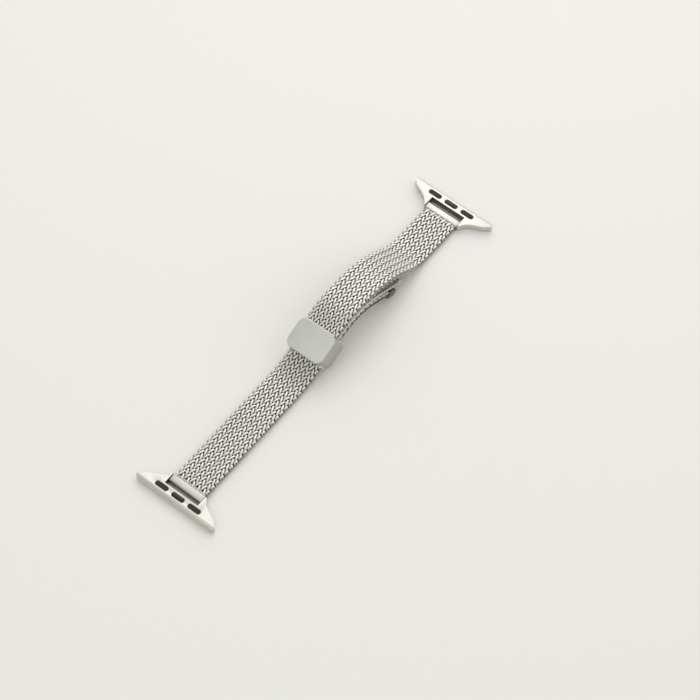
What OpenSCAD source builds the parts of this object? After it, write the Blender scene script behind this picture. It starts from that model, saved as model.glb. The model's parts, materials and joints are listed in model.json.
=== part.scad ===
// Woven steel watch bracelet with a folding magnetic clasp, as it lies on a table.
// X runs along the strap from the near lug to the far lug, Y across it, Z up.
// The origin is on the table, midway between the two lugs.

/* [Strap] */
// Width of the woven strap
strap_w = 11.6; // [10:0.1:14]
// Thickness of the woven strap
strap_t = 2.2; // [1.8:0.1:2.3]
// Distance between two rows of the weave
row_pitch = 2.1; // [1.8:0.1:3]
// Width of the groove between two rows
row_groove_w = 1.1; // [0.6:0.1:1.4]
// Depth of the groove between two rows
row_groove_depth = 0.35; // [0.1:0.05:0.4]
// Flat run of the near strap, from its pin to where it rises
near_flat = 43.4; // [36:0.2:60]
// Length in which the near strap bends up to the clasp
rise_len = 10.3; // [8:0.1:14]
// Length in which the far strap crests, from the clasp to level
crest_len = 9; // [8:0.5:12]
// Length of the almost level top of the far strap
top_len = 7; // [6:0.5:12]
// Turn of the far strap along its almost level top
top_turn = 6; // [4:1:10]
// Length in which the far strap bends over to its slope
shoulder_len = 15.5; // [12:0.5:20]
// Slope of the far strap before it lands
far_slope = 36; // [30:1:44]
// Length in which the far strap bends back to level on the table
landing_len = 9; // [7:0.5:12]
// Flat run of the far strap, from its landing to its pin
far_flat = 14.1; // [12:0.1:40]
// Length in which the tail bends down behind the clasp
tail_bend_len = 15.5; // [14:0.5:16]
// Turn of the tail behind the clasp
tail_turn = 52; // [50:1:58]
// Straight end of the tail
tail_run = 10.9; // [6:0.1:11]

/* [Strap hinges] */
// Bending stretches of the near strap
near_count = 6; // [6]
// Bending stretches of the tail
tail_count = 3; // [3]
// Bending stretches of the far strap
far_count = 7; // [7]
// Play in the round joint between two stretches
knuckle_gap = 0.05; // [0.04:0.01:0.1]
// Distance from the clasp frame to the first bend on each side
bend_off = 1.3; // [1.2:0.1:2]

/* [Clasp] */
// Upward pitch of the clasp
pitch = 24; // [20:1:26]
// Length of the cover
cover_len = 10; // [9.6:0.1:13]
// Room between the far strap's edges and the cover's side walls, at the roof
cover_room = 0.25; // [0.15:0.05:1]
// Room between the clasp frame's sides and the cover's side walls
frame_room = 0.11; // [0.08:0.01:0.5]
// Corner radius of the cover, seen from above
cover_corner = 2.4; // [1.5:0.1:3]
// Thickness of the roof of the cover
roof_t = 0.5; // [0.4:0.05:0.8]
// Thickness of the side walls of the cover
skirt_t = 0.55; // [0.4:0.05:0.6]
// Rounding of the roof's edge
roof_edge = 0.2; // [0.1:0.05:0.4]
// Distance from the lower edge of the side walls up to the frame's underside
skirt_up = 0; // [0:0.1:0.6]
// Wall thickness of the clasp frame
frame_t = 0.45; // [0.35:0.05:0.6]
// Thickness of the two folding leaves
leaf_t = 0.45; // [0.35:0.05:0.5]
// Width of the two folding leaves
leaf_w = 11.4; // [8:0.1:11.4]
// Length by which the leaves' arch is longer than the tail's bend beneath it
leaf_arch_extra = 2.5; // [2.5:0.1:4]
// Angle by which the leaves spread away from the tail
leaf_spread = 1; // [1:0.5:3]
// Distance by which the leaves run on past the tail's cap
leaf_past = 0.1; // [0.1:0.1:2]
// Diameter of the leaf hinge's pin
leaf_pin_d = 1; // [0.8:0.05:1.2]
// Wall of the leaf hinge's knuckles around their bore
leaf_knuckle_wall = 0.4; // [0.3:0.05:0.5]
// Width of the middle knuckle of the leaf hinge
leaf_knuckle_w = 4; // [3:0.1:5]
// Diameter of the cover's pin
cover_pin_d = 0.9; // [0.8:0.05:1]
// Wall of the upper leaf's curl around the cover's pin
curl_wall = 0.4; // [0.3:0.05:0.5]
// Distance from the middle of the cover to its pin
cover_pin_back = 3.4; // [3.2:0.1:3.6]
// Length of the magnet along the strap
magnet_len = 3; // [2:0.1:3.2]
// Width of the magnet across the strap
magnet_w = 9; // [5:0.1:10]

/* [Lock flap] */
// Length of the lock flap beyond its pin
flap_len = 7; // [5:0.1:7.4]
// Thickness of the lock flap
flap_t = 0.6; // [0.4:0.05:0.8]
// Width of the lock flap
flap_w = 8.6; // [7:0.1:9]
// Diameter of the lock flap's pin
flap_pin_d = 0.8; // [0.7:0.05:0.9]
// Width of the cam that grips the strap
cam_w = 6; // [4:0.1:7]
// Thickness of the cam
cam_t = 0.8; // [0.6:0.05:1]
// Size of the frame's ears along the strap
ear_len = 1.8; // [1.6:0.1:2.2]

/* [Strap end caps] */
// Wall of the cap on the tail
cap_wall = 0.4; // [0.3:0.05:0.5]
// Length of strap that the cap covers
cap_grip = 1.8; // [1:0.1:2.4]
// Length of the bar on the strap's end inside the cover
end_bar_len = 1; // [0.6:0.1:1.4]

/* [Lugs] */
// Thickness of the lug
lug_t = 2.6; // [2.4:0.1:3]
// Width of the lug from tip to tip
lug_w = 29.4; // [28:0.1:34]
// Distance from the row of ovals to the tongue's face at the slot
tongue_in = 1.45; // [1.4:0.05:2]
// Distance from the row of ovals to the start of the rounded nose
tongue_out = 0.9; // [0.9:0.05:1.6]
// Width of the open slot between tongue and strap bar
slot_w = 1.4; // [1:0.1:2.5]
// Outer diameter of the strap bar
bar_d = 2.3; // [2.3:0.05:2.5]
// Wall of the strap bar
bar_wall = 0.35; // [0.25:0.05:0.4]
// Amount by which each end of the strap bar stands wider than the strap
bar_over = 0.2; // [0.1:0.05:0.4]
// Gap between the strap bar's end and the lug's arm
arm_gap = 0.15; // [0.1:0.05:0.3]
// Diameter of the spring bar's tips
tip_d = 0.8; // [0.6:0.05:0.9]
// Depth of the tips' holes in the arms
tip_depth = 0.6; // [0.6:0.05:1]

/* [Latch] */
// Length of each oval across the strap
oval_len = 4.6; // [3.5:0.1:4.8]
// Width of each oval along the strap
oval_w = 1.55; // [1.2:0.05:1.6]
// Distance between the middles of the ovals
oval_pitch = 6.1; // [5.9:0.05:6.4]
// Depth of the rubber pads in the lug
pad_depth = 1.6; // [1:0.1:2]
// Height of the rubber pads above the lug
pad_proud = 0.08; // [0:0.02:0.2]
// Height of the latch button above the lug
button_proud = 0.3; // [0.2:0.05:0.5]
// Thickness of the lug above the button's flange
button_roof = 0.75; // [0.5:0.05:0.9]
// Thickness of the button's flange
flange_t = 0.4; // [0.3:0.05:0.4]
// Width by which the flange stands out round the button
flange_out = 0.35; // [0.25:0.05:0.35]
// Thickness of the plate that closes the button's pocket
plate_t = 0.35; // [0.3:0.05:0.4]
// Thickness of the leaf spring under the button
spring_t = 0.12; // [0.08:0.02:0.14]
// Width of the leaf spring under the button
spring_w = 1.2; // [1:0.1:1.3]

/* [Fits] */
// Clearance of a pin in its bore, on the radius
pin_fit = 0.03; // [0.02:0.01:0.05]
// Clearance of pieces that slide past or sit in each other
fit = 0.05; // [0.03:0.01:0.06]
// Clearance between the two leaves
leaf_gap = 0.1; // [0.08:0.01:0.15]
// Clearance between the upper leaf and the far strap
strap_gap = 0.2; // [0.15:0.05:0.3]

/* [Hidden] */
$fn = 48;
eps = 0.01;

// A pose on the strap's side view is [x, z, heading], with the heading in degrees above level.
function arc_step(p, len, turn) =
    abs(turn) < 0.001 ?
        [p[0] + len * cos(p[2]), p[1] + len * sin(p[2]), p[2]] :
        let (r = len * 180 / (PI * turn), h = p[2] + turn)
            [p[0] + r * (sin(h) - sin(p[2])), p[1] - r * (cos(h) - cos(p[2])), h];
// A path is a list of [length, turn] runs, and walk() gives the pose at distance s along it.
function walk(path, s, p, i = 0) =
    s <= path[i][0] || i == len(path) - 1 ?
        arc_step(p, s, path[i][1] * s / path[i][0]) :
        walk(path, s - path[i][0], arc_step(p, path[i][0], path[i][1]), i + 1);
function total(path, i = 0) = i == len(path) ? 0 : path[i][0] + total(path, i + 1);
// The pose moved along its heading and up from it
function shifted(p, along, up) =
    [p[0] + along * cos(p[2]) - up * sin(p[2]), p[1] + along * sin(p[2]) + up * cos(p[2]), p[2]];

// Heights above the middle plane of the near strap, inside the clasp
frame_in = strap_t / 2 + fit;
frame_top = frame_in + frame_t;
lower_leaf_up = frame_in + leaf_t / 2;
upper_leaf_up = frame_in + max(frame_t, leaf_t) + leaf_gap + leaf_t / 2;
far_strap_up = upper_leaf_up + leaf_t / 2 + strap_gap + strap_t / 2;
roof_in = far_strap_up + strap_t / 2;
roof_top = roof_in + roof_t;
skirt_low = skirt_up - frame_top;

// The cover's side walls slope outward to clear the frame.
frame_y = strap_w / 2 + fit + frame_t;
cover_top_w = strap_w + 2 * (cover_room + skirt_t);
draft = (frame_y + frame_room - strap_w / 2 - cover_room) / (roof_top - frame_top);
cover_low_w = cover_top_w + 2 * draft * (roof_top - skirt_low);

// Places along X before the part is centred, from the near row of ovals
pin_x = tongue_in + slot_w + bar_d / 2;
pin_z = bar_d / 2;
frame_half = cover_len / 2;
clasp_half = frame_half + bend_off;
near_path = [[near_flat, 0], [rise_len, pitch], [2 * clasp_half, 0], [tail_bend_len, -tail_turn], [tail_run, 0]];
near_start = [pin_x, pin_z, 0];
clasp_s = near_flat + rise_len + clasp_half;
clasp = walk(near_path, clasp_s, near_start);
tail_s = clasp_s + clasp_half;
tail_end_s = total(near_path);

// The far strap leaves the cover at the clasp's pitch, crests, slopes down and lands on the table.
far_start = shifted(clasp, frame_half, far_strap_up);
crest_path = [[bend_off, 0], [crest_len, -pitch], [top_len, -top_turn], [shoulder_len, top_turn - far_slope]];
crest_end = walk(crest_path, total(crest_path), far_start);
landing_drop = landing_len * 180 / (PI * far_slope) * (1 - cos(far_slope));
slope_run = (crest_end[1] - pin_z - landing_drop) / sin(far_slope);
far_path = concat(crest_path, [[slope_run, 0], [landing_len, far_slope], [far_flat, 0]]);
far_len = total(far_path);
far_pin = walk(far_path, far_len, far_start);

// The leaves run straight in the clasp, then arch over the tail to the hinge.
leaf_start = shifted(clasp, -cover_pin_back, lower_leaf_up);
leaf_straight = cover_pin_back + clasp_half;
leaf_path = [[leaf_straight, 0], [tail_bend_len + leaf_arch_extra, leaf_spread - tail_turn],
    [tail_run + cap_wall + leaf_past, 0]];
leaf_len = total(leaf_path);
leaf_step_up = upper_leaf_up - lower_leaf_up;
leaf_hinge = shifted(walk(leaf_path, leaf_len, leaf_start), 0, leaf_step_up / 2);
knuckle_r = leaf_pin_d / 2 + pin_fit + leaf_knuckle_wall;
curl_r = cover_pin_d / 2 + pin_fit + curl_wall;

// The cover's pin ends half way through its sloping side walls.
cover_pin_up = upper_leaf_up - leaf_t / 2 + curl_r;
cover_pin = shifted(clasp, -cover_pin_back, cover_pin_up);
cover_pin_len = cover_top_w + 2 * draft * (roof_top - cover_pin_up) - skirt_t;

// The magnet and the strap's end bar stand side by side behind the curl.
magnet_start = -cover_pin_back + curl_r + 4 * fit;
magnet_end = magnet_start + magnet_len;
magnet_end_s = magnet_end + 4 * fit - frame_half;

// The part is centred between the noses of its two lugs.
nose_r = lug_t / 2;
middle = (far_pin[0] + pin_x) / 2;

// Bends of the strap, as distances along its path
near_bend = clasp_s - clasp_half;
near_stretch = near_bend / near_count;
tail_stretch = (tail_end_s - tail_s) / tail_count;
far_stretch = (far_len - bend_off) / far_count;
point_step = 0.8;

// Lug sizes
arm_y = strap_w / 2 + bar_over + arm_gap;
arm_end = pin_x + bar_d / 2 + arm_gap;
nose_x = tongue_out + nose_r;
wing_y = lug_w / 2 - arm_y;
// The wing's outline: shares of the arm's reach or the nose's reach, and of the wing's width
wing_shape = [[1, 0], [0.9, 0.07], [0.74, 0.14], [0.56, 0.24], [0.38, 0.42],
    [0.22, 0.63], [0.07, 0.81], [-0.27, 0.94], [-0.65, 0.99], [-1, 0.88]];
button_pocket_w = oval_w + 2 * (flange_out + fit);
button_pocket_len = oval_len + 2 * (flange_out + fit);
flange_top = lug_t - button_roof;
spring_low = plate_t;
spring_high = flange_top - flange_t;

// Lock flap sizes, from the clasp's middle and the strap's middle plane
flap_pin_x = -frame_half + ear_len / 2;
flap_r = flap_pin_d / 2 + pin_fit + 0.3;
flap_pin_z = -frame_top - fit - flap_r;
cam_high = -strap_t / 2 - 2 * fit;
cam_reach = sqrt(pow(cam_high - flap_pin_z, 2) + pow(cam_t / 2, 2));
window_len = cam_reach + cam_t / 2 + 4 * fit;
ear_w = frame_y - (flap_w / 2 + 2 * fit);

near_names = ["near_strap_1", "near_strap_2", "near_strap_3", "near_strap_4", "near_strap_5", "near_strap_6"];
tail_names = ["tail_strap_1", "tail_strap_2", "tail_strap_3"];
far_names = ["far_strap_1", "far_strap_2", "far_strap_3", "far_strap_4", "far_strap_5", "far_strap_6", "far_strap_7"];

steel = [0.78, 0.77, 0.74];
satin = [0.74, 0.73, 0.70];
mesh = [0.62, 0.62, 0.60];
dark = [0.14, 0.13, 0.12];

// Side views are drawn in XZ and stretched evenly across the strap.
module across(width) {
    rotate([90, 0, 0]) linear_extrude(width, center = true) children();
}
module at_pose(p) {
    translate([p[0], 0, p[1]]) rotate([0, -p[2], 0]) children();
}
module centred() {
    translate([-middle, 0, 0]) children();
}
module cross_pin(d, length) {
    rotate([90, 0, 0]) cylinder(d = d, h = length, center = true);
}

// The outline of a sheet that follows a path from s0 to s1, between two heights
function sheet_points(path, start, s0, s1, low, high) =
    let (n = ceil((s1 - s0) / point_step), ps = [for (i = [0:n]) walk(path, s0 + (s1 - s0) * i / n, start)])
        concat([for (p = ps) shifted(p, 0, low)], [for (i = [n:-1:0]) shifted(ps[i], 0, high)]);
module sheet(path, start, s0, s1, low, high) {
    polygon([for (p = sheet_points(path, start, s0, s1, low, high)) [p[0], p[1]]]);
}

// One face of a strap stretch, with a groove in the middle of each row
function strap_face(path, start, s0, s1, side) =
    let (n = round((s1 - s0) / row_pitch), row = (s1 - s0) / n,
        grooves = [for (i = [0:n - 1], k = [-1:1])
            shifted(walk(path, s0 + (i + 0.5) * row + k * row_groove_w / 2, start), 0,
                side * (strap_t / 2 - (k == 0 ? row_groove_depth : 0)))])
        concat([shifted(walk(path, s0, start), 0, side * strap_t / 2)], grooves,
            [shifted(walk(path, s1, start), 0, side * strap_t / 2)]);

// One stretch of strap: hollow end at s0, round end at s1. A hollow of 0 leaves that end square.
module strap_stretch(path, start, s0, s1, hollow_r, round_end) {
    a = walk(path, s0, start);
    b = walk(path, s1, start);
    across(strap_w) {
        difference() {
            union() {
                polygon([for (p = concat(strap_face(path, start, s0, s1, -1),
                    turned(strap_face(path, start, s0, s1, 1)))) [p[0], p[1]]]);
                if (round_end) translate([b[0], b[1]]) circle(d = strap_t);
            }
            if (hollow_r > 0) translate([a[0], a[1]]) circle(r = hollow_r);
        }
    }
}
joint_hollow = strap_t / 2 + knuckle_gap;
bar_hollow = bar_d / 2 + eps;

module near_strap(i) {
    color(mesh) centred() strap_stretch(near_path, near_start, i * near_stretch, (i + 1) * near_stretch,
        i == 0 ? bar_hollow : joint_hollow, true);
}
module clasp_strap() {
    color(mesh) centred() strap_stretch(near_path, near_start, near_bend, tail_s, joint_hollow, true);
}
module tail_strap(i) {
    color(mesh) centred() strap_stretch(near_path, near_start, tail_s + i * tail_stretch,
        tail_s + (i + 1) * tail_stretch, joint_hollow, i < tail_count - 1);
}
module cover_strap() {
    color(mesh) centred() strap_stretch(far_path, far_start, magnet_end_s + end_bar_len, bend_off, 0, true);
}
module far_strap(i) {
    last = i == far_count - 1;
    color(mesh) centred() difference() {
        strap_stretch(far_path, far_start, bend_off + i * far_stretch,
            bend_off + (i + 1) * far_stretch, joint_hollow, !last);
        if (last) translate([far_pin[0], 0, far_pin[1]]) cross_pin(2 * bar_hollow, strap_w + 1);
    }
}

// The steel cap pressed on the tail's end
module tail_cap() {
    tail = walk(near_path, tail_end_s, near_start);
    cap_z = strap_t + 2 * (fit + cap_wall);
    cap_y = strap_w + 2 * (fit + cap_wall);
    color(steel) centred() at_pose(tail) difference() {
        intersection() {
            translate([-cap_grip, -cap_y / 2, -cap_z / 2]) cube([cap_grip + cap_wall, cap_y, cap_z]);
            across(cap_y) union() {
                translate([-cap_grip, -cap_z / 2]) square([cap_grip + cap_wall - cap_z / 3, cap_z]);
                translate([cap_wall - cap_z / 3, -cap_z / 6]) square([cap_z / 3, cap_z / 3]);
                for (side = [-1, 1])
                    translate([cap_wall - cap_z / 3, side * cap_z / 6]) circle(r = cap_z / 3);
            }
        }
        translate([-cap_grip - 1, -strap_w / 2 - fit, -strap_t / 2 - fit])
            cube([cap_grip + 1, strap_w + 2 * fit, strap_t + 2 * fit]);
    }
}

// The clasp frame is a flat loop round the near strap, with ears for the lock flap.
module clasp_frame() {
    color(satin) centred() at_pose(clasp) difference() {
        union() {
            translate([-frame_half, -frame_y, -frame_top]) cube([2 * frame_half, 2 * frame_y, 2 * frame_top]);
            for (side = [-1, 1]) translate([flap_pin_x, side * (frame_y - ear_w / 2), 0]) across(ear_w) {
                translate([-ear_len / 2, flap_pin_z]) square([ear_len, -frame_top - flap_pin_z + eps]);
                translate([0, flap_pin_z]) circle(d = ear_len);
            }
        }
        translate([-frame_half - 1, -strap_w / 2 - fit, -frame_in])
            cube([2 * frame_half + 2, strap_w + 2 * fit, 2 * frame_in]);
        translate([flap_pin_x - cam_t / 2 - 4 * fit, -cam_w / 2 - 2 * fit, -frame_top - 1])
            cube([window_len + 4 * fit, cam_w + 4 * fit, frame_t + 1 + eps]);
        translate([flap_pin_x, 0, flap_pin_z]) cross_pin(flap_pin_d + 2 * pin_fit, 2 * frame_y + 1);
    }
}
module lock_flap_pin() {
    color(steel) centred() at_pose(clasp) translate([flap_pin_x, 0, flap_pin_z])
        cross_pin(flap_pin_d, 2 * frame_y);
}
// The lock flap's cam grips the strap through the frame's window.
module lock_flap() {
    color(satin) centred() at_pose(clasp) translate([flap_pin_x, 0, flap_pin_z]) difference() {
        union() {
            cross_pin(2 * flap_r, flap_w);
            translate([0, -flap_w / 2, -flap_r]) cube([flap_len, flap_w, flap_t]);
            translate([flap_len, 0, -flap_r]) cylinder(r = flap_w / 4, h = flap_t);
            translate([-cam_t / 2, -cam_w / 2, 0]) cube([cam_t, cam_w, cam_high - flap_pin_z]);
        }
        cross_pin(flap_pin_d + 2 * pin_fit, flap_w + 1);
    }
}

// The two leaves, hinged at the far end
module leaf_sheet(s0, s1, up) {
    across(leaf_w) sheet(leaf_path, leaf_start, s0, s1, up - leaf_t / 2, up + leaf_t / 2);
}
module lower_leaf() {
    side_w = (leaf_w - leaf_knuckle_w) / 2 - fit;
    color(steel) centred() difference() {
        union() {
            leaf_sheet(cover_pin_back + frame_half, leaf_len, 0);
            at_hinge() cross_pin(2 * knuckle_r, leaf_w);
        }
        at_hinge() translate([-knuckle_r - 2 * fit, -leaf_w / 2 + side_w, -2 * knuckle_r])
            cube([4 * knuckle_r, leaf_w - 2 * side_w, 4 * knuckle_r]);
        at_hinge() cross_pin(leaf_pin_d + 2 * pin_fit, leaf_w + 1);
    }
}
module at_hinge() {
    translate([leaf_hinge[0], 0, leaf_hinge[1]]) rotate([0, -leaf_hinge[2], 0]) children();
}
module upper_leaf() {
    color(steel) centred() difference() {
        union() {
            difference() {
                leaf_sheet(0, leaf_len, leaf_step_up);
                for (side = [-1, 1]) at_hinge()
                    translate([-knuckle_r - 2 * fit, side > 0 ? leaf_knuckle_w / 2 : -leaf_w, -2 * knuckle_r])
                        cube([4 * knuckle_r, leaf_w - leaf_knuckle_w / 2, 4 * knuckle_r]);
            }
            at_hinge() cross_pin(2 * knuckle_r, leaf_knuckle_w);
            translate([cover_pin[0], 0, cover_pin[1]]) cross_pin(2 * curl_r, leaf_w);
        }
        at_hinge() cross_pin(leaf_pin_d + 2 * pin_fit, leaf_w + 1);
        translate([cover_pin[0], 0, cover_pin[1]]) cross_pin(cover_pin_d + 2 * pin_fit, leaf_w + 1);
    }
}
module leaf_pin() {
    color(steel) centred() at_hinge() cross_pin(leaf_pin_d, leaf_w);
}

// The cover: a roof with drafted side walls, open at both ends
module cover_block() {
    hull() for (z = [skirt_low, roof_top - roof_edge, roof_top]) {
        inset = z == roof_top ? roof_edge : 0;
        y = cover_top_w / 2 + draft * (roof_top - z) - cover_corner - inset;
        x = frame_half - cover_corner - inset;
        for (sx = [-1, 1], sy = [-1, 1])
            translate([sx * x, sy * y, z - eps / 2]) cylinder(r = cover_corner, h = eps, $fn = 32);
    }
}
module cover() {
    low_in = cover_low_w / 2 - skirt_t;
    color(satin) centred() difference() {
        at_pose(clasp) difference() {
            cover_block();
            rotate([90, 0, 90]) linear_extrude(cover_len + 1, center = true)
                polygon([[-low_in - draft, skirt_low - 1],
                    [low_in + draft, skirt_low - 1],
                    [low_in - draft * (roof_in - skirt_low), roof_in],
                    [-low_in + draft * (roof_in - skirt_low), roof_in]]);
        }
        translate([cover_pin[0], 0, cover_pin[1]]) cross_pin(cover_pin_d + 2 * pin_fit, cover_pin_len + 2 * fit);
    }
}
module cover_pin() {
    color(steel) centred() translate([cover_pin[0], 0, cover_pin[1]]) cross_pin(cover_pin_d, cover_pin_len);
}
module cover_magnet() {
    low = upper_leaf_up + leaf_t / 2 + strap_gap;
    color(dark) centred() at_pose(clasp) translate([magnet_start, -magnet_w / 2, low])
        cube([magnet_len, magnet_w, roof_in - low]);
}
module cover_end_bar() {
    color(steel) centred() at_pose(clasp)
        translate([magnet_end + 4 * fit, -strap_w / 2, far_strap_up - strap_t / 2])
            cube([end_bar_len, strap_w, strap_t]);
}

// One lug is modelled at the near end and mirrored for the far end.
module place_lug(far) {
    if (far) translate([far_pin[0] + pin_x - middle, 0, 0]) mirror([1, 0, 0]) children();
    else centred() children();
}
// A smooth curve through the outline's points
function between(a, b, c, d, t) =
    0.5 * ((2 * b) + (c - a) * t + (2 * a - 5 * b + 4 * c - d) * t * t + (3 * b - a - 3 * c + d) * t * t * t);
function smooth(ps, n) = [for (i = [0:len(ps) - 2], k = [0:n - 1])
    between(ps[max(i - 1, 0)], ps[i], ps[i + 1], ps[min(i + 2, len(ps) - 1)], k / n)];
function wing_side(side) = [for (p = concat(smooth(wing_shape, 5), [wing_shape[len(wing_shape) - 1]]))
    [p[0] > 0 ? p[0] * arm_end : p[0] * nose_x, side * (arm_y + p[1] * wing_y)]];
function turned(ps) = [for (i = [len(ps) - 1:-1:0]) ps[i]];
module lug_outline() {
    polygon(concat(wing_side(1), turned(wing_side(-1))));
}
module oval(length, width) {
    union() {
        square([width, length - width], center = true);
        for (side = [-1, 1]) translate([0, side * (length - width) / 2]) circle(d = width);
    }
}
module lug(far) {
    color(satin) place_lug(far) difference() {
        intersection() {
            linear_extrude(lug_t) lug_outline();
            across(lug_w + 1) {
                translate([-tongue_out, nose_r]) circle(r = nose_r);
                translate([-tongue_out, 0]) square([tongue_out + pin_x, lug_t]);
                translate([pin_x, 0]) square([arm_end - pin_x - lug_t / 4, lug_t]);
                for (z = [lug_t / 4, lug_t * 3 / 4]) translate([arm_end - lug_t / 4, z]) circle(r = lug_t / 4);
                translate([pin_x, lug_t / 4]) square([arm_end - pin_x, lug_t / 2]);
            }
        }
        translate([tongue_in, -arm_y, -1]) cube([arm_end, 2 * arm_y, lug_t + 2]);
        translate([pin_x, 0, pin_z]) cross_pin(tip_d + 2 * pin_fit, 2 * (arm_y + tip_depth));
        for (side = [-1, 1]) translate([0, side * oval_pitch, lug_t - pad_depth])
            linear_extrude(pad_depth + 1) oval(oval_len + 2 * fit, oval_w + 2 * fit);
        translate([0, 0, -1]) linear_extrude(lug_t + 2) oval(oval_len + 2 * fit, oval_w + 2 * fit);
        translate([0, 0, -1]) linear_extrude(flange_top + 1) oval(button_pocket_len, button_pocket_w);
    }
}
module pads(far) {
    color(dark) place_lug(far) for (side = [-1, 1])
        translate([0, side * oval_pitch, lug_t - pad_depth]) linear_extrude(pad_depth + pad_proud)
            oval(oval_len, oval_w);
}
module latch_button(far) {
    color(dark) place_lug(far) {
        translate([0, 0, spring_high]) linear_extrude(lug_t + button_proud - spring_high) oval(oval_len, oval_w);
        translate([0, 0, spring_high]) linear_extrude(flange_t)
            oval(oval_len + 2 * flange_out, oval_w + 2 * flange_out);
    }
}
// The spring under the button is a shallow bow of thin strip.
module latch_spring(far) {
    half = oval_len / 2;
    rise = spring_high - spring_low - spring_t;
    function bow(y) = spring_low + rise * pow(cos(90 * y / half), 2);
    ys = [for (i = [-12:12]) half * i / 12];
    color(steel) place_lug(far) rotate([90, 0, 90]) linear_extrude(spring_w, center = true)
        polygon(concat([for (y = ys) [y, bow(y)]], turned([for (y = ys) [y, bow(y) + spring_t]])));
}
module latch_plate(far) {
    color(steel) place_lug(far) linear_extrude(plate_t)
        oval(button_pocket_len - 2 * fit, button_pocket_w - 2 * fit);
}
module spring_bar(far) {
    tube_r = bar_d / 2 - bar_wall - fit;
    color(steel) place_lug(far) translate([pin_x, 0, pin_z]) {
        cross_pin(2 * tube_r, strap_w);
        cross_pin(tip_d, 2 * (arm_y + tip_depth - 2 * fit));
    }
}
module strap_bar(far) {
    color(steel) place_lug(far) translate([pin_x, 0, pin_z]) difference() {
        cross_pin(bar_d, strap_w + 2 * bar_over);
        cross_pin(bar_d - 2 * bar_wall, strap_w + 2 * bar_over + 1);
    }
}

for (i = [0:near_count - 1]) near_strap(i);
for (i = [0:tail_count - 1]) tail_strap(i);
for (i = [0:far_count - 1]) far_strap(i);
clasp_strap();
clasp_frame();
lock_flap();
lock_flap_pin();
lower_leaf();
upper_leaf();
leaf_pin();
cover();
cover_pin();
cover_magnet();
cover_strap();
cover_end_bar();
tail_cap();
lug(false);  // near_lug
pads(false);  // near_pads
latch_button(false);  // near_latch_button
latch_spring(false);  // near_latch_spring
latch_plate(false);  // near_latch_plate
spring_bar(false);  // near_spring_bar
strap_bar(false);  // near_strap_bar
lug(true);  // far_lug
pads(true);  // far_pads
latch_button(true);  // far_latch_button
latch_spring(true);  // far_latch_spring
latch_plate(true);  // far_latch_plate
spring_bar(true);  // far_spring_bar
strap_bar(true);  // far_strap_bar
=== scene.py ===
"""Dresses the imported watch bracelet: woven wire strap, magnetic clasp and the two lugs, on a pale table."""

import json
import math

import bmesh
import bpy
import numpy as np
from mathutils import Matrix, Vector

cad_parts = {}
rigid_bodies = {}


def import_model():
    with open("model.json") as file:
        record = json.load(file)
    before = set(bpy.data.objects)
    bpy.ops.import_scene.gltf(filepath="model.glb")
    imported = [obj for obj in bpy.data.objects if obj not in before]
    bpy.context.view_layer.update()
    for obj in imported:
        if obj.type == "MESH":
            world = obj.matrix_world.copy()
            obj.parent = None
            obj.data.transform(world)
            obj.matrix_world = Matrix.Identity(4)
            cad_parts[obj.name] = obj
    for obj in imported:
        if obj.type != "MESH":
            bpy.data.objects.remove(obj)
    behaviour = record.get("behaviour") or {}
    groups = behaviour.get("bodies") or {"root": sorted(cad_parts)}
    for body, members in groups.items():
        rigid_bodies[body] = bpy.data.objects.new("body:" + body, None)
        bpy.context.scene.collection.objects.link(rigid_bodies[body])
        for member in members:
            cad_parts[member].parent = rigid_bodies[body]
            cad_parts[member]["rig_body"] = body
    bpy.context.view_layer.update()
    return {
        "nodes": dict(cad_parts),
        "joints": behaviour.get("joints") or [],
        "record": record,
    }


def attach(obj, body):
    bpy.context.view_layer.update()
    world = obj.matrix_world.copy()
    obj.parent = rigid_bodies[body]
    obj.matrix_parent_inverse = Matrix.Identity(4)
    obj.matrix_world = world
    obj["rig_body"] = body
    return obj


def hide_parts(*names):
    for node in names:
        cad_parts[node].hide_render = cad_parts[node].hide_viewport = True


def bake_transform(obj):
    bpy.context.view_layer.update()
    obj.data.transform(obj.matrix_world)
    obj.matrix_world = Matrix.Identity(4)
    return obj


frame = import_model()
nodes = frame["nodes"]
scene = bpy.context.scene
scene.view_settings.view_transform = "Standard"

# The photograph's view
# A long lens looks down at 59 degrees from beyond the near lug, turned half left,
# so that the strap climbs from lower left to upper right.
MM = 0.001
hinge_at = {j["name"]: Vector(j.get("pos_m", (0, 0, 0))) for j in frame["joints"]}
near_pin = hinge_at["near_lug_turn"]
far_pin = hinge_at["far_lug_turn"]
azimuth, elevation, roll = (math.radians(a) for a in (-50.64, 59.24, -0.90))
aim = Vector((5.95 * MM, -7.1 * MM, 0))
camera_away = 828.3 * MM
level = Vector((-math.sin(azimuth), math.cos(azimuth), 0))
look = level * math.cos(elevation) - Vector((0, 0, math.sin(elevation)))
right = Vector((math.cos(azimuth), math.sin(azimuth), 0))
up = right.cross(look)
right, up = (
    right * math.cos(roll) + up * math.sin(roll),
    up * math.cos(roll) - right * math.sin(roll),
)
lens = bpy.data.cameras.new("camera")
lens.sensor_width = 36
lens.lens = 36 * 2780 / 700
lens.clip_end = 10
camera = bpy.data.objects.new("camera", lens)
scene.collection.objects.link(camera)
camera.matrix_world = Matrix.Translation(aim - look * camera_away) @ (
    Matrix((right, up, -look)).transposed().to_4x4()
)
scene.camera = camera

# The table
# A plain matt surface, off-white and the same all over.
# Its own lightness makes the pale background, and it keeps the bracelet's soft shadow.


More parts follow.
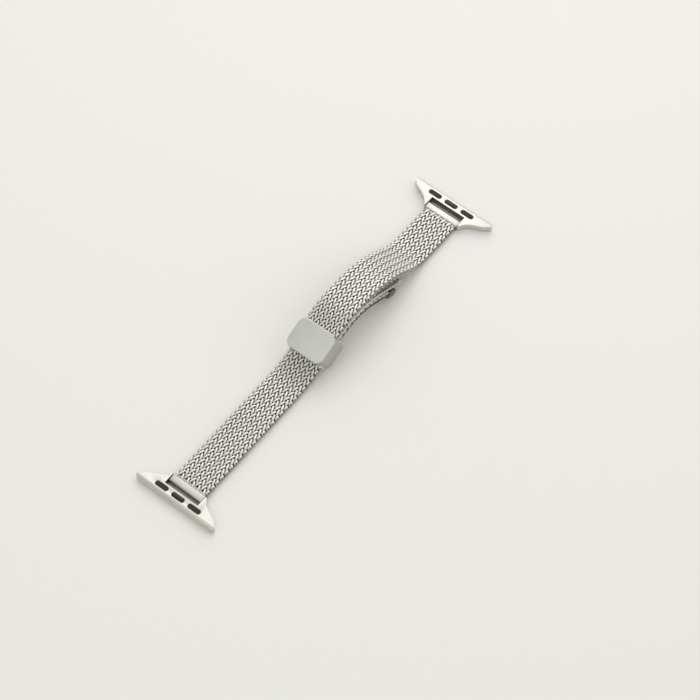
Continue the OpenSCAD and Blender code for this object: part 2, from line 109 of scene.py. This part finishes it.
class Value:
    """A socket in a material, with arithmetic."""

    def __init__(self, tree, socket):
        self.tree = tree
        self.socket = socket

    def node(self, kind, settings=None, output=0, **inputs):
        """A new node: its settings go on first, then its inputs, by name or by number as in_0."""
        made = self.tree.nodes.new("ShaderNode" + kind)
        for name, setting in (settings or {}).items():
            if name == "stops":
                ramp = made.color_ramp
                while len(ramp.elements) < len(setting):
                    ramp.elements.new(0.5)
                for stop, (place, colour) in zip(ramp.elements, setting):
                    stop.position = place
                    stop.color = (*colour, 1)
            else:
                setattr(made, name, setting)
        for name, given in inputs.items():
            key = int(name[3:]) if name.startswith("in_") else name.replace("_", " ")
            if isinstance(given, Value):
                self.tree.links.new(given.socket, made.inputs[key])
            else:
                made.inputs[key].default_value = given
        return Value(self.tree, made.outputs[output])

    def maths(self, operation, first, second=0.0):
        return self.node("Math", {"operation": operation}, in_0=first, in_1=second)

    def __add__(self, other):
        return self.maths("ADD", self, other)

    def __radd__(self, other):
        return self.maths("ADD", other, self)

    def __sub__(self, other):
        return self.maths("SUBTRACT", self, other)

    def __rsub__(self, other):
        return self.maths("SUBTRACT", other, self)

    def __mul__(self, other):
        return self.maths("MULTIPLY", self, other)

    def __rmul__(self, other):
        return self.maths("MULTIPLY", other, self)

    def smooth(self, low, high):
        """0 below low, 1 above high and a smooth step between."""
        return self.node(
            "MapRange",
            {"interpolation_type": "SMOOTHSTEP"},
            Value=self,
            From_Min=low,
            From_Max=high,
        )

    def between(self, dark, light):
        """The colour that lies as far from dark to light as this value says."""
        return self.node(
            "Mix",
            {"data_type": "RGBA"},
            output=2,
            in_0=self,
            in_6=dark if isinstance(dark, Value) else (*dark, 1),
            in_7=light if isinstance(light, Value) else (*light, 1),
        )


def srgb(*parts):
    """The scene's linear colour of an sRGB colour written in 0 to 255."""
    shares = [p / 255 for p in parts]
    return tuple(
        s / 12.92 if s < 0.04045 else ((s + 0.055) / 1.055) ** 2.4 for s in shares
    )


def material(name, **constants):
    """An empty Principled material, its constants set, and a Value to start its maths from."""
    made = bpy.data.materials.new(name)
    made.use_nodes = True
    shader = made.node_tree.nodes["Principled BSDF"]
    for key, constant in constants.items():
        shader.inputs[key.replace("_", " ")].default_value = constant
    place = Value(made.node_tree, made.node_tree.nodes.new("ShaderNodeTexCoord").outputs["Object"])
    return made, shader, place


def feed(shader, **inputs):
    """Links values that vary over the surface to the shader."""
    for name, value in inputs.items():
        value.tree.links.new(value.socket, shader.inputs[name.replace("_", " ")])


table_paint = material(
    "table_paint", Base_Color=(*srgb(237, 236, 231), 1), Roughness=0.85, Specular_IOR_Level=0.25
)[0]
bpy.ops.mesh.primitive_plane_add(size=6)
table = bpy.context.object
table.name = "table"
table.data.materials.append(table_paint)

# Daylight
# A white room that is brightest overhead and beyond the far lug. Two soft windows stand there, one high,
# which that lug's flat top mirrors, and one low. A third is high on the left, and a fill low on the right.
room = bpy.data.worlds.new("room")
room.use_nodes = True
room_air = room.node_tree.nodes["Background"]
room_air.inputs["Strength"].default_value = 0.82
toward = Value(room.node_tree, room.node_tree.nodes.new("ShaderNodeTexCoord").outputs["Generated"])
brightest = toward.node(
    "VectorMath", {"operation": "DOT_PRODUCT"}, output=1, in_0=toward, in_1=(0.5, 0.1, 0.86)
)
room_colour = brightest.smooth(-0.4, 0.95).between((0.4, 0.395, 0.385), (1, 0.995, 0.98))
room.node_tree.links.new(room_colour.socket, room_air.inputs["Color"])
scene.world = room


def window(name, faces, toward, away, size, power):
    """A square lamp that far away in that direction from the place that it faces."""
    light = bpy.data.lights.new(name, "AREA")
    light.size = size
    light.energy = power
    lamp = bpy.data.objects.new(name, light)
    scene.collection.objects.link(lamp)
    lamp.location = Vector(faces) + Vector(toward).normalized() * away
    lamp.rotation_euler = (-Vector(toward)).to_track_quat("-Z", "Y").to_euler()


window("far_window", far_pin, (0.45, 0.33, 0.86), 0.5, 0.3, 0.45)
window("low_window", (0, 0, 0), (0.77, 0.32, 0.55), 1.2, 0.6, 1.6)
window("left_window", (0, 0, 0), (-0.8, -0.1, 0.75), 1.2, 0.9, 2.2)
window("right_fill", (0, 0, 0), (0.55, -0.75, 0.5), 1.2, 1.0, 1.2)

# The woven strap
# Flat coils of round steel wire lie across the strap. Each is threaded through the next, and they
# lean left and right in turn, which makes the herringbone. The weave is rolled flat after it is wound.
strap_half = 5.8
strap_rise = 1.1
wire_half = 0.37
rolled_off = 0.12
coil_reach = 1.05
columns = 10
column_gap = 1.024
crest_shape = 0.6
rolled_share = 0.6
post_from = 0.85
post_to = -0.6
turn_points = 10
post_points = 4
wire_sides = 10
# Painted highlight on the coils' ends at the strap's edges; the tail's edges get almost none and stay in
# painted shade.
strap_edge_light = 0.6
tail_edge_light = 0.1
near_coils = 86
far_coils = 60
coil_from_lug = 2.25
coil_from_end = 1.4
bend_reach = 1.3

woven_wire, wire_shader, wire_place = material(
    "woven_wire", Metallic=1.0, Roughness=0.3, Specular_IOR_Level=0.5
)
# Painted shade and light: a wire is darker the deeper it lies in the weave, between the wires, and lighter at
# its crests, with random dirt mixed in.
painted_crest_light = wire_place.node("Attribute", {"attribute_name": "height"}, output=2)
grain = wire_place.node("TexNoise", Vector=wire_place, Scale=2600.0, Detail=3.0)
dirt = wire_place.node("TexNoise", Vector=wire_place, Scale=260.0, Detail=2.0)
painted_light_and_dirt = (painted_crest_light + (dirt - 0.5) * 0.3).smooth(0.02, 0.97)
# The dark colour is the painted shade between the wires, the light one the painted light on their crests.
feed(
    wire_shader,
    Base_Color=painted_light_and_dirt.between(srgb(66, 61, 54), srgb(222, 220, 215)),
    Roughness=0.52 - painted_light_and_dirt * 0.1 + (grain - 0.5) * 0.08,
)


class Track:
    """The middle line of a strap seen from its side: straight runs and bends, from a place and a heading."""

    def __init__(self, x, z, heading, runs):
        ends = np.cumsum([0] + [length for length, _ in runs])
        turns = np.cumsum([heading] + [turn for _, turn in runs])
        self.length = ends[-1]
        self.s = np.linspace(0, self.length, int(self.length / 0.02) + 1)
        self.heading = np.radians(np.interp(self.s, ends, turns))
        middle = (self.heading[1:] + self.heading[:-1]) / 2
        step = self.s[1]
        self.x = x + np.concatenate([[0], np.cumsum(np.cos(middle) * step)])
        self.z = z + np.concatenate([[0], np.cumsum(np.sin(middle) * step)])

    def at(self, s, rise=0.0):
        """x, z and heading at that distance along, moved off the middle line by rise."""
        h = np.interp(s, self.s, self.heading)
        return (
            np.interp(s, self.s, self.x) - rise * np.sin(h),
            np.interp(s, self.s, self.z) + rise * np.cos(h),
            h,
        )

    def point(self, s, rise=0.0):
        x, z, _ = self.at(s, rise)
        return Vector((float(x), 0, float(z))) * MM


flat_run = 43.4
climb_run = 10.3
climb = 24
clasp_half = 6.3
near_track = Track(
    near_pin.x / MM,
    near_pin.z / MM,
    0,
    [(flat_run, 0), (climb_run, climb), (2 * clasp_half, 0), (15.5, -52), (10.9, 0)],
)
clasp_s = flat_run + climb_run + clasp_half
clasp_x, clasp_z, clasp_pitch = near_track.at(clasp_s)
far_lead = 3.4
far_up = 3.45
far_back = 5.0 - far_lead
far_track = Track(
    clasp_x + far_back * math.cos(clasp_pitch) - far_up * math.sin(clasp_pitch),
    clasp_z + far_back * math.sin(clasp_pitch) + far_up * math.cos(clasp_pitch),
    climb,
    [(far_lead + bend_reach, 0), (9, -climb), (7, -6), (15.5, -30), (6.238, 0), (9, 36), (14.1, 0)],
)


def coil(over):
    """A coil's wire in the strap's own measures, along, across and up, as rings of points."""
    top = strap_rise + rolled_off - wire_half
    edge = strap_half - wire_half
    turn = np.linspace(-0.5, columns + 0.5, (columns + 1) * turn_points + 1) * math.pi
    straight = column_gap * (np.clip(turn / math.pi, 0, columns) - columns / 2)
    round_edge = (edge - column_gap * columns / 2) * np.sin(turn - np.clip(turn, 0, turn[-1] - math.pi / 2))
    lift = over * top * np.sign(np.sin(turn)) * np.abs(np.sin(turn)) ** crest_shape
    line = np.stack([-coil_reach * np.cos(turn), straight + round_edge, lift], axis=1)
    posts = []
    for end in (0, -1):
        drop = np.linspace(post_from, post_to, post_points)[:, None]
        posts.append(line[end] * np.array([1, 1, 0]) + drop * np.array([0, 0, line[end, 2]]))
    line = np.concatenate([posts[0][::-1], line, posts[1]])
    forward = np.gradient(line, axis=0)
    forward /= np.linalg.norm(forward, axis=1, keepdims=True)
    side = np.cross(forward, np.array([0.0, 1.0, 0.0]))
    side /= np.linalg.norm(side, axis=1, keepdims=True)
    other = np.cross(forward, side)
    angle = np.arange(wire_sides)[None, :, None] * 2 * math.pi / wire_sides
    rings = line[:, None, :] + wire_half * (
        side[:, None, :] * np.cos(angle) + other[:, None, :] * np.sin(angle)
    )
    proud = np.maximum(np.abs(rings[..., 2]) - strap_rise + rolled_off, 0)
    rings[..., 2] -= np.sign(rings[..., 2]) * proud * rolled_share
    return rings


def weave(name, track, places, first, start, end, stands_for):
    """One stretch of the weave, with its coils at those places, in place of the CAD strap nodes."""
    coils = [coil(1 if (first + k) % 2 == 0 else -1) for k in range(len(places))]
    rings = np.array(coils)
    x, z, _ = track.at(np.array(places)[:, None, None] + rings[..., 0], rings[..., 2])
    vertices = np.stack([x, rings[..., 1], z], axis=-1).reshape(-1, 3) * MM
    index = np.arange(len(vertices)).reshape(rings.shape[:3])
    ahead = np.roll(index, -1, axis=2)
    quads = np.stack([index[:, :-1], ahead[:, :-1], ahead[:, 1:], index[:, 1:]], axis=-1)
    ends = [ring[::-1] for ring in index[:, 0].tolist()] + index[:, -1].tolist()
    mesh = bpy.data.meshes.new(name)
    mesh.from_pydata(vertices.tolist(), [], quads.reshape(-1, 4).tolist() + ends)
    mesh.polygons.foreach_set("use_smooth", [True] * len(mesh.polygons))
    # The height attribute is painted shade and light: low deep in the weave, high at the crests and, as a
    # painted highlight, at the strap's edges.
    edge_light_share = tail_edge_light if name.startswith("tail") else strap_edge_light
    painted_edge_light = edge_light_share * ((np.abs(rings[..., 1]) - strap_half) / (2 * wire_half) + 1)
    height = mesh.attributes.new("height", "FLOAT", "POINT")
    height.data.foreach_set(
        "value", np.maximum(np.abs(rings[..., 2]) / strap_rise, painted_edge_light).ravel().astype(np.float32)
    )
    mesh.materials.append(woven_wire)
    piece = bpy.data.objects.new(name, mesh)
    scene.collection.objects.link(piece)
    track.point(start)
    track.point(end)
    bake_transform(piece)
    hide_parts(*stands_for)
    return piece


def weave_run(track, first_place, last_place, count, pieces):
    """Spreads coils evenly and gives each piece those up to its end."""
    places = np.linspace(first_place, last_place, count)
    taken = 0
    for name, limit, body_a, body_b, hinge_s, reach, stands_for in pieces:
        mine = [s for s in places[taken:] if s < limit]
        weave(
            name, track, mine, taken, hinge_s - reach, hinge_s + reach, stands_for
        )
        taken += len(mine)


near_stretch = (clasp_s - clasp_half) / 6
tail_start = clasp_s + clasp_half
tail_stretch = (near_track.length - tail_start) / 3
near_pieces = []
for i in range(1, 7):
    last = i == 6
    near_pieces.append(
        (
            f"near_weave_{i}",
            clasp_s if last else (i + 0.5) * near_stretch,
            f"near_section_{i}",
            "clasp_base" if last else f"near_section_{i + 1}",
            i * near_stretch,
            bend_reach if last else near_stretch / 2,
            [f"near_strap_{i}"] + (["clasp_strap"] if last else []),
        )
    )
for i in range(1, 4):
    near_pieces.append(
        (
            f"tail_weave_{i}",
            tail_start + (i - 0.5) * tail_stretch if i < 3 else near_track.length,
            "clasp_base" if i == 1 else f"tail_section_{i - 1}",
            f"tail_section_{i}",
            tail_start + (i - 1) * tail_stretch,
            bend_reach if i == 1 else tail_stretch / 2,
            [f"tail_strap_{i}"],
        )
    )
weave_run(
    near_track, coil_from_lug, near_track.length - coil_from_end, near_coils, near_pieces
)

far_hinge = far_lead + bend_reach
far_stretch = (far_track.length - far_hinge) / 7
far_pieces = []
for i in range(1, 8):
    far_pieces.append(
        (
            f"far_weave_{i}",
            far_hinge + (i - 0.5) * far_stretch if i < 7 else far_track.length,
            "cover_body" if i == 1 else f"far_section_{i - 1}",
            f"far_section_{i}",
            far_hinge + (i - 1) * far_stretch,
            bend_reach if i == 1 else far_stretch / 2,
            [f"far_strap_{i}"] + (["cover_strap"] if i == 1 else []),
        )
    )
weave_run(far_track, coil_from_end, far_track.length - coil_from_lug, far_coils, far_pieces)

# The strap's end sleeves
# At each lug a steel sheet is folded round the spring bar into a flat sleeve with soft corners.
# A thinner bar along its straight end is welded to the weave's last coil.
sleeve_half = 6.0
sleeve_bore = 0.8
sleeve_edge = 0.12
sleeve_side = (-1.2, 1.5, 1.12, 0.95, 0.6)
weld_half = 5.5
weld_side = (1.2, 2.2, 0.74, 0.3, 0.3)
corner_steps = 12
sharp_angle = 32


def blasted(name, tint, rough, painted_shade=None, painted_shade_colour=None):
    """Bead-blasted steel: fine even pits and slow changes in its shine, darker where the painted shade is 1.
    """
    made, shader, place = material(name, Metallic=1.0, Specular_IOR_Level=0.5)
    pits = place.node("TexNoise", Vector=place, Scale=9000.0, Detail=2.0)
    cloud = place.node("TexNoise", Vector=place, Scale=180.0, Detail=3.0)
    colour = (cloud * 0.5 + pits * 0.5).smooth(0.3, 0.7).between(tuple(c * 0.93 for c in tint), tint)
    if painted_shade:
        colour = painted_shade(place).between(colour, painted_shade_colour)
    feed(
        shader,
        Base_Color=colour,
        Roughness=(cloud - 0.5) * 0.1 + rough,
        Normal=place.node("Bump", Height=pits, Strength=0.25, Distance=0.00002),
    )
    return made


def sleeve_shade(place):
    """Painted shade: 0 on the sleeve's flat top, 0.4 on its round side and the weld's bar, and 1 on its lower
    half.
    """
    height = place.node("SeparateXYZ", output=2, Vector=place)
    return 1 - height.smooth(0.6 * MM, 1.2 * MM) * 0.6 - height.smooth(1.95 * MM, 2.25 * MM) * 0.4


satin_steel = blasted("satin_steel", srgb(214, 211, 204), 0.5)
polished_steel = blasted("polished_steel", srgb(222, 220, 214), 0.26)
# The sleeve's lower half, round side and weld bar are painted darker, as painted shade.
sleeve_steel = blasted("sleeve_steel", srgb(205, 202, 196), 0.46, sleeve_shade, srgb(120, 116, 107))


def built(name, vertices, faces, paint, body, stands_for):
    """A piece from its points in millimetres and its faces, riding a body in place of CAD nodes."""
    mesh = bpy.data.meshes.new(name)
    mesh.from_pydata([tuple(c * MM for c in v) for v in vertices], [], faces)
    mesh.materials.append(paint)
    mesh.polygons.foreach_set("use_smooth", [True] * len(mesh.polygons))
    mesh.set_sharp_from_angle(angle=math.radians(sharp_angle))
    piece = bpy.data.objects.new(name, mesh)
    scene.collection.objects.link(piece)
    if body:
        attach(piece, body)
        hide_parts(*stands_for)
    return piece


def stacked(rings, closed_loop=False):
    """Faces that join equal rings of points one after another, closed by two caps or into a loop."""
    count = len(rings[0])
    last = len(rings) if closed_loop else len(rings) - 1
    faces = []
    for r in range(last):
        a = r * count
        b = (r + 1) % len(rings) * count
        for i in range(count):
            j = (i + 1) % count
            faces.append((a + i, a + j, b + j, b + i))
    if not closed_loop:
        top = (len(rings) - 1) * count
        faces += [tuple(range(count))[::-1], tuple(range(top, top + count))]
    return [p for ring in rings for p in ring], faces


def side_ring(shape, pin, away, y, inset):
    """A flat outline round the pin with soft corners, its back end away from the lug, drawn in by inset."""
    front, back, rise, front_corner, back_corner = shape
    points = []
    for corner in range(4):
        is_back = corner in (0, 3)
        radius = back_corner if is_back else front_corner
        reach = back - radius if is_back else front + radius
        middle = (rise - radius) * (1 if corner < 2 else -1)
        for n in range(corner_steps):
            a = math.pi / 2 * (corner + n / (corner_steps - 1))
            points.append(
                (
                    pin.x / MM + away * (reach + (radius - inset) * math.cos(a)),
                    y,
                    pin.z / MM + middle + (radius - inset) * math.sin(a),
                )
            )
    return points


def soft_ended(shape, pin, away, half):
    """That outline's rings across the strap, with rounded ends."""
    rings = []
    for step in range(4):
        turn = step / 3 * math.pi / 2
        y = half - sleeve_edge * (1 - math.cos(turn))
        rings.append(side_ring(shape, pin, away, -y, sleeve_edge * (1 - math.sin(turn))))
    return rings + [[(x, -y, z) for x, y, z in ring] for ring in rings[::-1]]


def bore_ring(pin, away, y):
    """The spring bar's bore, with as many points as the outline."""
    angles = [
        math.pi / 2 * (corner + n / (corner_steps - 0.5))
        for corner in range(4)
        for n in range(corner_steps)
    ]
    return [
        (pin.x / MM + away * sleeve_bore * math.cos(a), y, pin.z / MM + sleeve_bore * math.sin(a))
        for a in angles
    ]


for side, pin, away, body in (
    ("near", near_pin, 1, "near_section_1"),
    ("far", far_pin, -1, "far_section_7"),
):
    rings = soft_ended(sleeve_side, pin, away, sleeve_half)
    rings += [bore_ring(pin, away, sleeve_half), bore_ring(pin, away, -sleeve_half)]
    vertices, faces = stacked(rings, closed_loop=True)
    weld_vertices, weld_faces = stacked(soft_ended(weld_side, pin, away, weld_half))
    faces += [tuple(i + len(vertices) for i in f) for f in weld_faces]
    vertices += weld_vertices
    if away > 0:
        faces = [f[::-1] for f in faces]
    built(f"{side}_sleeve", vertices, faces, sleeve_steel, body, [f"{side}_strap_bar"])

# The lugs
# Each is one milled steel block, bead blasted to a satin grey: a long tongue with a round nose that
# slides into the watch case, and two arms that hold the spring bar. The slot's walls are painted darker, as
# painted shade.
row_to_pin = 4.0
row_to_slot = 1.45
row_x = near_pin.x / MM - row_to_pin
slot_from = -row_x - row_to_slot
arm_inside = 6.15
lug_edge = 0.25
fine_share = 0.2
edge_steps = 3
edge_angle = 40


def slot_painted_shade(place):
    """Painted shade: 1 in the slot of either lug and 0 on its tongue, arms and outside."""
    parts = [place.node("SeparateXYZ", output=n, Vector=place) for n in (0, 1)]
    along, across = (part.maths("ABSOLUTE", part) for part in parts)
    past_slot = along.smooth((slot_from + 0.03) * MM, (slot_from + 0.12) * MM)
    past_arm = across.smooth((arm_inside + 0.03) * MM, (arm_inside + 0.12) * MM)
    return (1 - past_slot) * (1 - past_arm)


def rounded_copy(node, edge, paint, fine=None):
    """The CAD node's own shape with its sharp edges broken, less where fine says, in its place."""
    mesh = nodes[node].data.copy()
    shape = bmesh.new()
    shape.from_mesh(mesh)
    bmesh.ops.remove_doubles(shape, verts=shape.verts, dist=1e-6)
    bmesh.ops.dissolve_limit(
        shape, angle_limit=math.radians(0.8), verts=shape.verts, edges=shape.edges
    )
    share = shape.edges.layers.float.new("bevel_weight_edge")
    for line in shape.edges:
        if line.is_manifold and line.calc_face_angle() > math.radians(edge_angle):
            middle = (line.verts[0].co + line.verts[1].co) / 2 / MM
            line[share] = fine(middle) if fine else 1.0
    shape.to_mesh(mesh)
    shape.free()
    piece = bpy.data.objects.new(node + "_body", mesh)
    scene.collection.objects.link(piece)
    bevel = piece.modifiers.new("edges", "BEVEL")
    bevel.width = edge * MM
    bevel.segments = edge_steps
    bevel.limit_method = "WEIGHT"
    shown(piece)
    piece.data.materials.clear()
    piece.data.materials.append(paint)
    piece.data.polygons.foreach_set("use_smooth", [True] * len(piece.data.polygons))
    piece.data.set_sharp_from_angle(angle=math.radians(sharp_angle))
    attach(piece, nodes[node]["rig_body"])
    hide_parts(node)
    return piece


def shown(piece):
    """Makes a piece's modifiers part of its mesh."""
    bpy.context.view_layer.update()
    seen = piece.evaluated_get(bpy.context.evaluated_depsgraph_get())
    mesh = bpy.data.meshes.new_from_object(seen)
    piece.modifiers.clear()
    piece.data = mesh


def lug_fine(point):
    """Less rounding at the ovals, the slot and the spring bar's holes."""
    out = abs(abs(point.x) + row_x)
    near_oval = out < 1.3 and abs(point.y) < 9
    near_slot = abs(point.y) < arm_inside + 1 and abs(point.x) < slot_from + 0.05
    return fine_share if near_oval or near_slot else 1.0


# The lug's slot walls get a darker colour as painted shade.
lug_steel = blasted("lug_steel", srgb(219, 216, 209), 0.5, slot_painted_shade, srgb(140, 135, 125))
for side in ("near", "far"):
    rounded_copy(f"{side}_lug", lug_edge, lug_steel, lug_fine)

# The pads and the latch buttons
# Three near-black ovals in each lug. The outer two are rubber pads, nearly flush, and the middle one
# is the glossy domed button of the sprung latch, whose flange keeps it in the lug.
oval_half = 2.3
oval_side = 0.775
oval_pitch = 6.1
pad_low = 1.0
pad_high = 2.68
pad_round = 0.2
button_low = 1.45
button_flange = 1.85
button_high = 2.9
button_round = 0.3
flange_out = 0.35
dark_rubber, rubber_shader, rubber_place = material("dark_rubber", Specular_IOR_Level=0.4)
rubber_dust = rubber_place.node("TexNoise", Vector=rubber_place, Scale=4000.0, Detail=3.0)
feed(
    rubber_shader,
    Base_Color=rubber_dust.smooth(0.35, 0.7).between(srgb(32, 29, 24), srgb(52, 48, 41)),
    Roughness=0.62 + (rubber_dust - 0.5) * 0.2,
)
dark_plastic, plastic_shader, plastic_place = material(
    "dark_plastic", Specular_IOR_Level=0.35, Coat_Weight=0.1
)
plastic_wear = plastic_place.node("TexNoise", Vector=plastic_place, Scale=1500.0, Detail=3.0)
feed(
    plastic_shader,
    Base_Color=plastic_wear.smooth(0.3, 0.7).between(srgb(18, 16, 12), srgb(30, 27, 21)),
    Roughness=0.24 + plastic_wear * 0.14,
)


def oval_ring(x, y, z, inset):
    """An oval whose straight sides run across the strap."""
    half = oval_half - oval_side
    radius = oval_side - inset
    angles = [math.pi * n / 12 for n in range(13)]
    return [
        (x + end * radius * math.cos(a), y + end * (half + radius * math.sin(a)), z)
        for end in (1, -1)
        for a in angles
    ]


for side, row, body in (("near", row_x, "near_lug_body"), ("far", -row_x, "far_lug_body")):
    pads = []
    for across in (-oval_pitch, oval_pitch):
        levels = [(pad_low, 0.0)]
        for step in range(5):
            turn = step / 4 * math.pi / 2
            rise = pad_high - pad_round * (1 - math.sin(turn))
            levels.append((rise, pad_round * (1 - math.cos(turn))))
        pads.append(stacked([oval_ring(row, across, z, inset) for z, inset in levels]))
    vertices = pads[0][0] + pads[1][0]
    faces = pads[0][1] + [tuple(i + len(pads[0][0]) for i in f) for f in pads[1][1]]
    built(f"{side}_pad_ovals", vertices, faces, dark_rubber, body, [f"{side}_pads"])
    levels = [
        (button_low, -flange_out),
        (button_flange, -flange_out),
        (button_flange, 0.0),
        (button_high - button_round, 0.0),
    ]
    for step in range(1, 9):
        turn = step / 8 * math.pi / 2
        rise = button_high - button_round * (1 - math.sin(turn))
        levels.append((rise, oval_side * 0.85 * (1 - math.cos(turn))))
    vertices, faces = stacked([oval_ring(row, 0, z, inset) for z, inset in levels])
    built(
        f"{side}_button_dome",
        vertices,
        faces,
        dark_plastic,
        f"{side}_button",
        [f"{side}_latch_button"],
    )

# The clasp's cover
# Pressed steel, blasted to a satin finish: a flat roof with a crisp rim, and side walls that slope
# out to clear the clasp frame. It is open at both ends, and its pin sits in blind holes in the walls.
cover_half = 5.0
cover_corner = 2.4
roof_half = 6.6
roof_top = 5.05
roof_in = 4.55
roof_edge = 0.2
wall_low = -1.6
wall_slope = 0.10435
wall_thick = 0.55
cover_pin_at = (-3.4, 2.58)
cover_pin_hole = 0.48
cover_pin_reach = 6.63


def wall_painted_shade(place):
    """Painted shade: 1 on the side walls and 0 on the roof."""
    facing = place.node("NewGeometry", output=1)
    across = place.node("SeparateXYZ", output=1, Vector=facing)
    return across.maths("ABSOLUTE", across).smooth(0.35, 0.9)


# The cover's side walls are painted darker than its roof, as painted shade.
cover_steel = blasted("cover_steel", srgb(211, 211, 207), 0.46, wall_painted_shade, srgb(191, 188, 183))


def clasp_place(u, y, v):
    """A place in the clasp's own measures, moved into the frame."""
    return (
        clasp_x + u * math.cos(clasp_pitch) - v * math.sin(clasp_pitch),
        y,
        clasp_z + u * math.sin(clasp_pitch) + v * math.cos(clasp_pitch),
    )


def cover_ring(v, inset):
    half = roof_half + wall_slope * (roof_top - v) - inset
    radius = cover_corner - inset * 0.5
    points = []
    for sx, sy, start in ((1, 1, 0), (-1, 1, 90), (-1, -1, 180), (1, -1, 270)):
        for n in range(11):
            a = math.radians(start + 9 * n)
            u = sx * (cover_half - inset - radius) + radius * math.cos(a)
            y = sy * (half - radius) + radius * math.sin(a)
            points.append(clasp_place(u, y, v))
    return points


def cut(piece, vertices, faces):
    """Takes a solid out of a piece."""
    tool = built("cutter", vertices, faces, cover_steel, None, [])
    made = piece.modifiers.new("cut", "BOOLEAN")
    made.object = tool
    made.solver = "EXACT"
    shown(piece)
    bpy.data.objects.remove(tool)


levels = [(wall_low, 0.0), (roof_top - roof_edge, 0.0)]
for step in range(1, 5):
    turn = step / 4 * math.pi / 2
    levels.append(
        (roof_top - roof_edge + roof_edge * math.sin(turn), roof_edge * (1 - math.cos(turn)))
    )
vertices, faces = stacked([cover_ring(v, inset) for v, inset in levels])
cover = built("cover_shell", vertices, faces, cover_steel, None, [])
low_in = roof_half + wall_slope * (roof_top - wall_low) - wall_thick
room = [
    (low_in + wall_slope, wall_low - 1),
    (low_in - wall_slope * (roof_in - wall_low), roof_in),
]
room = room + [(-y, v) for y, v in room[::-1]]
cut(cover, *stacked([[clasp_place(u, y, v) for y, v in room] for u in (6, -6)]))
hole = [2 * math.pi * n / 24 for n in range(24)]
cut(
    cover,
    *stacked(
        [
            [
                clasp_place(
                    cover_pin_at[0] + cover_pin_hole * math.cos(a),
                    y,
                    cover_pin_at[1] + cover_pin_hole * math.sin(a),
                )
                for a in hole
            ]
            for y in (-cover_pin_reach, cover_pin_reach)
        ]
    ),
)
rim = cover.modifiers.new("edges", "BEVEL")
rim.width = 0.07 * MM
rim.segments = 2
rim.limit_method = "ANGLE"
rim.angle_limit = math.radians(50)
shown(cover)
cover.data.polygons.foreach_set("use_smooth", [True] * len(cover.data.polygons))
cover.data.set_sharp_from_angle(angle=math.radians(sharp_angle))
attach(cover, "cover_body")
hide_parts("cover")

# The clasp's inner parts
# The frame round the strap, its lock flap and the two leaves are stamped steel with broken edges.
for node, edge, paint, slot in (
    ("clasp_frame", 0.08, satin_steel, "satin_steel"),
    ("lock_flap", 0.1, satin_steel, "satin_steel"),
    ("lower_leaf", 0.08, polished_steel, "polished_steel"),
    ("upper_leaf", 0.08, polished_steel, "polished_steel"),
):
    rounded_copy(node, edge, paint)

# The tail's cap
# A thin steel channel pressed over the tail's end, round at its tip and closed at its sides.
# It is polished, and its colour is set far darker than the blasted steel's.
cap_half = 6.1
cap_rise = 1.28
cap_back = 3.4
cap_tip = 0.45
cap_edge = 0.2
dark_steel = blasted("dark_steel", srgb(112, 105, 93), 0.24)


def cap_ring(y, inset):
    """The cap's outline from the side, round at the tip."""
    points = [(-cap_back + inset, -cap_rise + inset), (-cap_back + inset, cap_rise - inset)]
    for n in range(13):
        a = math.pi / 2 - math.pi * n / 12
        points.append(
            (
                cap_tip - cap_rise + (cap_rise - inset) * math.cos(a),
                (cap_rise - inset) * math.sin(a),
            )
        )
    x, z, heading = near_track.at(near_track.length)
    return [
        (
            x + u * math.cos(heading) - v * math.sin(heading),
            y,
            z + u * math.sin(heading) + v * math.cos(heading),
        )
        for u, v in points
    ]


rings = []
for step in range(4):
    turn = step / 3 * math.pi / 2
    y = -cap_half + cap_edge * (1 - math.cos(turn))
    rings.append(cap_ring(y, cap_edge * (1 - math.sin(turn))))
rings += [[(x, -y, z) for x, y, z in ring] for ring in rings[::-1]]
vertices, faces = stacked(rings)
built(
    "tail_cap_body", vertices, faces, dark_steel, "tail_section_3", ["tail_cap"]
)

# Pins, springs, plates and the magnet
# They keep their CAD shape: plain turned pins and bars, stamped springs and plates, a plated magnet.
paints = {
    "dark_rubber": dark_rubber,
    "dark_plastic": dark_plastic,
    "magnet_plate": polished_steel,
    "polished_steel": polished_steel,
    "satin_steel": satin_steel,
    "woven_steel": woven_wire,
}
for part in frame["record"]["subparts"]:
    mesh = nodes[part["node"]].data
    mesh.materials.clear()
    mesh.materials.append(paints[part["material_slot"]])
